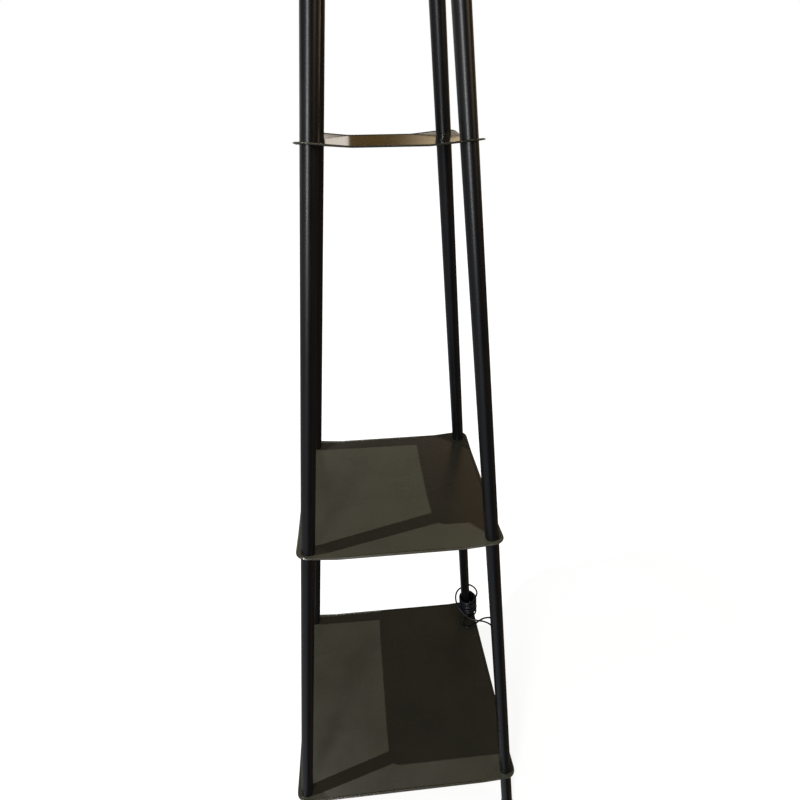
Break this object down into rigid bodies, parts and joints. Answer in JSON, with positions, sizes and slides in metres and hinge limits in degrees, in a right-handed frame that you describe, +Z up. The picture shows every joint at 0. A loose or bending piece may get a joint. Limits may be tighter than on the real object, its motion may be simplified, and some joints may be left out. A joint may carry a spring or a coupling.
{
  "type": "shelf floor lamp",
  "caption": "Floor lamp on four leaning tube posts that carry three thin square steel shelves, with a turn switch under a drum shade.",
  "frame": {"origin": "on the floor, in the middle of the four feet", "axes": "+Z up the lamp; -Y is the front, the side of the switch knob; the shelves' sides run along X and Y"},
  "size_m": [0.4474, 0.4027, 1.594],
  "materials": {
    "post_paint": "satin black paint",
    "shelf_paint": "semi-gloss black-brown paint",
    "foot_plastic": "matte black plastic",
    "zinc_steel": "zinc plated steel",
    "black_nickel": "satin black",
    "bush_plastic": "matte plastic",
    "harp_nickel": "satin nickel",
    "socket_metal": "satin nickel over aluminium",
    "sleeve_paper": "pressed paper",
    "black_plastic": "glossy black phenolic",
    "brass_parts": "plain brass",
    "shell_aluminium": "plain aluminium",
    "bulb_white": "white plastic",
    "bulb_diffuser": "milky diffuser",
    "shade_fabric": "off-white linen on a stiff lining",
    "white_wire": "white painted wire",
    "cord_black": "matte black sheath"
  },
  "bodies": {
    "stand": {"bottom_shelf": "shelf_paint", "bulb_base": "bulb_white", "bulb_cap": "shell_aluminium", "bulb_dome": "bulb_diffuser", "bulb_tip": "brass_parts", "cap_nuts": "black_nickel", "centre_contact": "brass_parts", "centre_nipple": "zinc_steel", "cord_coil": "cord_black", "cord_grommets": "cord_black", "cord_lead_in": "cord_black", "cord_tail": "cord_black", "finial": "harp_nickel", "foot_left_back": "foot_plastic", "foot_left_front": "foot_plastic", "foot_right_back": "foot_plastic", "foot_right_front": "foot_plastic", "harp": "harp_nickel", "harp_ferrules": "harp_nickel", "harp_saddle": "harp_nickel", "inner_lead": "cord_black", "insulating_sleeve": "sleeve_paper", "joining_studs": "zinc_steel", "leg_left_back": "post_paint", "leg_left_front": "post_paint", "leg_right_back": "post_paint", "leg_right_front": "post_paint", "lower_post_left_back": "post_paint", "lower_post_left_front": "post_paint", "lower_post_right_back": "post_paint", "lower_post_right_front": "post_paint", "middle_post_left_back": "post_paint", "middle_post_left_front": "post_paint", "middle_post_right_back": "post_paint", "middle_post_right_front": "post_paint", "middle_shelf": "shelf_paint", "nipple_locknut": "zinc_steel", "nipple_washer": "zinc_steel", "plug_blades": "brass_parts", "plug_body": "cord_black", "screw_shell": "shell_aluminium", "shade_bottom_ring": "white_wire", "shade_skin": "shade_fabric", "shade_spider": "white_wire", "socket_body": "black_plastic", "socket_cap": "socket_metal", "socket_shell": "socket_metal", "top_plate": "shelf_paint", "top_shelf": "shelf_paint", "top_studs": "zinc_steel", "top_washers": "zinc_steel", "tube_bushes": "bush_plastic", "upper_post_left_back": "post_paint", "upper_post_left_front": "post_paint", "upper_post_right_back": "post_paint", "upper_post_right_front": "post_paint"},
    "switch": {"switch_shaft": "brass_parts", "switch_knob": "black_plastic"}
  },
  "joints": [
    {"name": "switch_turn", "type": "hinge", "parent": "stand", "child": "switch", "pos_m": [0, -0.024, 1.40112], "axis": [0, -1, 0], "continuous": true}
  ]
}
